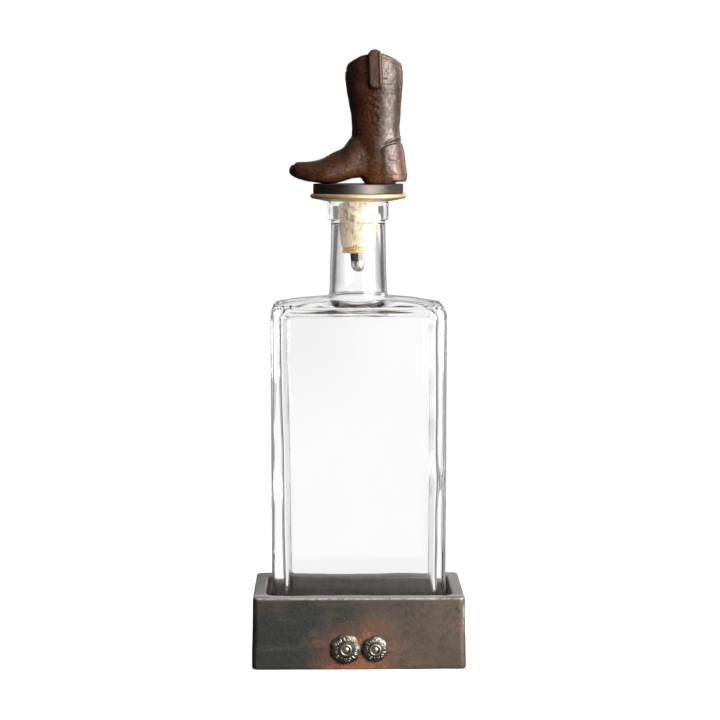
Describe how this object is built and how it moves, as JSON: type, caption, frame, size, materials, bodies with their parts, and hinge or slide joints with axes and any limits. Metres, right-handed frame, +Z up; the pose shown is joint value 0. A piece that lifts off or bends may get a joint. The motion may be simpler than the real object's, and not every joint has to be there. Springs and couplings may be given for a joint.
{
  "type": "glass decanter",
  "caption": "Flat clear-glass decanter in an open cast-iron tray, closed by a cork stopper with a brass flange, a steel plate and a small cast boot figure on top.",
  "frame": {"origin": "centre of the tray's underside", "axes": "+Z up, +Y to the back, studs on the -Y face, the boot's toe towards -X"},
  "size_m": [0.1118, 0.064, 0.3202],
  "materials": {
    "tray_iron": "blackened, waxed, with rust patches",
    "boot_iron": "rust brown, rubbed bright on the edges",
    "pewter": "tarnished pewter, dark in the hollows",
    "rivet_steel": "dull",
    "bottle_glass": "clear, slightly wavy",
    "cork": "natural cork, open pores",
    "brass": "satin",
    "bright_steel": "plain",
    "nickel": "polished nickel",
    "plate_steel": "dark, turned edge, browned"
  },
  "bodies": {
    "base": {"tray": "tray_iron", "left_concho": "pewter", "right_concho": "pewter", "left_rivet": "rivet_steel", "right_rivet": "rivet_steel"},
    "decanter": {"bottle": "bottle_glass"},
    "stopper": {"cork": "cork", "brass_flange": "brass", "upper_cork_washer": "brass", "lower_cork_washer": "brass"},
    "figure": {"boot": "boot_iron", "top_plate": "plate_steel", "boot_screws": "bright_steel", "threaded_stud": "bright_steel", "acorn_nut": "nickel"}
  },
  "joints": [
    {"name": "bottle_lift", "type": "slide", "parent": "base", "child": "decanter", "axis": [0, 0, 1], "range_m": [0, 0.04]},
    {"name": "stopper_pull", "type": "slide", "parent": "decanter", "child": "stopper", "axis": [0, 0, 1], "range_m": [0, 0.045]},
    {"name": "boot_turn", "type": "hinge", "parent": "stopper", "child": "figure", "pos_m": [0, 0, 0.2463], "axis": [0, 0, 1], "continuous": true}
  ]
}
